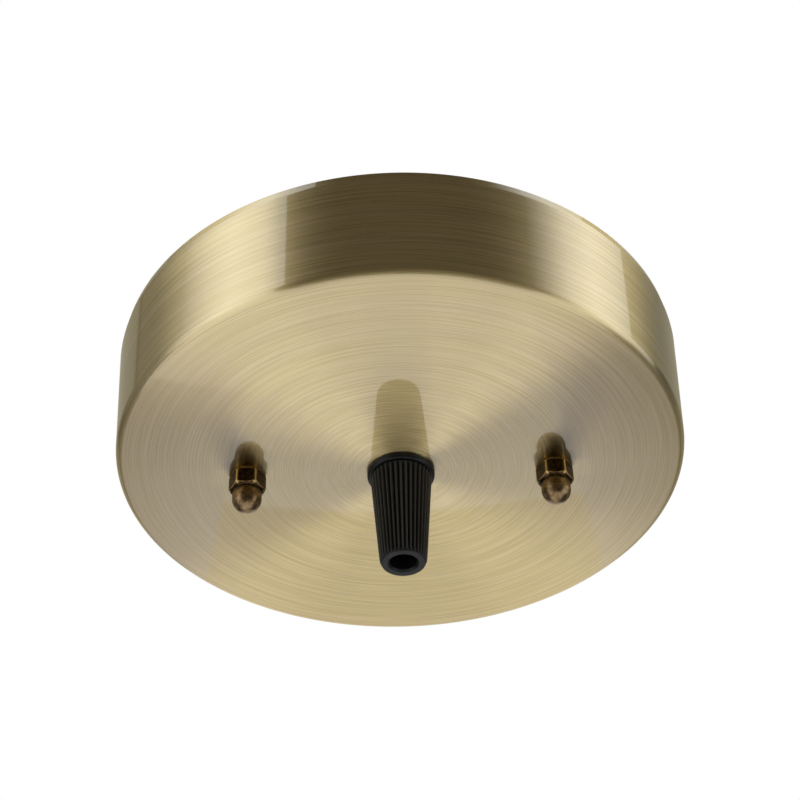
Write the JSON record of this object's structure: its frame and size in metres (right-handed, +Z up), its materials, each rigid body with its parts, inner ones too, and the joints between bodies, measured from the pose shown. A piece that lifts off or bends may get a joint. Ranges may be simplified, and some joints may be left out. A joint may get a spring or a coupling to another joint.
{
  "type": "ceiling canopy",
  "caption": "Shallow round metal ceiling canopy with two acorn nuts, a ribbed cord grip in the middle of its face and a cranked mounting bar inside.",
  "frame": {"origin": "middle of the mounting bar, in the ceiling plane, on the canopy's axis", "axes": "+Z up into the ceiling along the canopy's axis; X through both studs; the earth terminal is on +X"},
  "size_m": [0.122, 0.122, 0.0506],
  "materials": {
    "antique_brass": "circular brushed, lacquered antique brass",
    "aged_bronze": "dark aged bronze, polished",
    "black_nylon": "satin moulded",
    "zinc_steel": "zinc plated",
    "brass_terminal": "plain turned brass"
  },
  "bodies": {
    "bracket": {"mounting_bar": "zinc_steel", "stud_left": "zinc_steel", "stud_right": "zinc_steel", "stud_nut_left": "zinc_steel", "stud_nut_right": "zinc_steel"},
    "canopy": {"canopy_cup": "antique_brass", "grip_stem": "black_nylon", "grip_washer": "zinc_steel", "grip_nut": "zinc_steel"},
    "acorn_left": {"acorn_nut_left": "aged_bronze"},
    "acorn_right": {"acorn_nut_right": "aged_bronze"},
    "sleeve": {"grip_sleeve": "black_nylon"},
    "earth_terminal": {"earth_screw": "brass_terminal", "earth_clamp": "brass_terminal", "earth_spring": "zinc_steel"}
  },
  "joints": [
    {"name": "canopy_drop", "type": "slide", "parent": "bracket", "child": "canopy", "axis": [0, 0, -1], "range_m": [0, 0.035]},
    {"name": "acorn_left_turn", "type": "hinge", "parent": "canopy", "child": "acorn_left", "pos_m": [-0.0325, 0, -0.027], "axis": [0, 0, -1], "range_deg": [0, 2057]},
    {"name": "acorn_right_turn", "type": "hinge", "parent": "canopy", "child": "acorn_right", "pos_m": [0.0325, 0, -0.027], "axis": [0, 0, -1], "range_deg": [0, 2057]},
    {"name": "sleeve_turn", "type": "hinge", "parent": "canopy", "child": "sleeve", "pos_m": [0, 0, -0.0385], "axis": [0, 0, -1], "range_deg": [0, 1080]},
    {"name": "earth_screw_loosen", "type": "slide", "parent": "bracket", "child": "earth_terminal", "axis": [0, 0, -1], "range_m": [0, 0.003]}
  ]
}
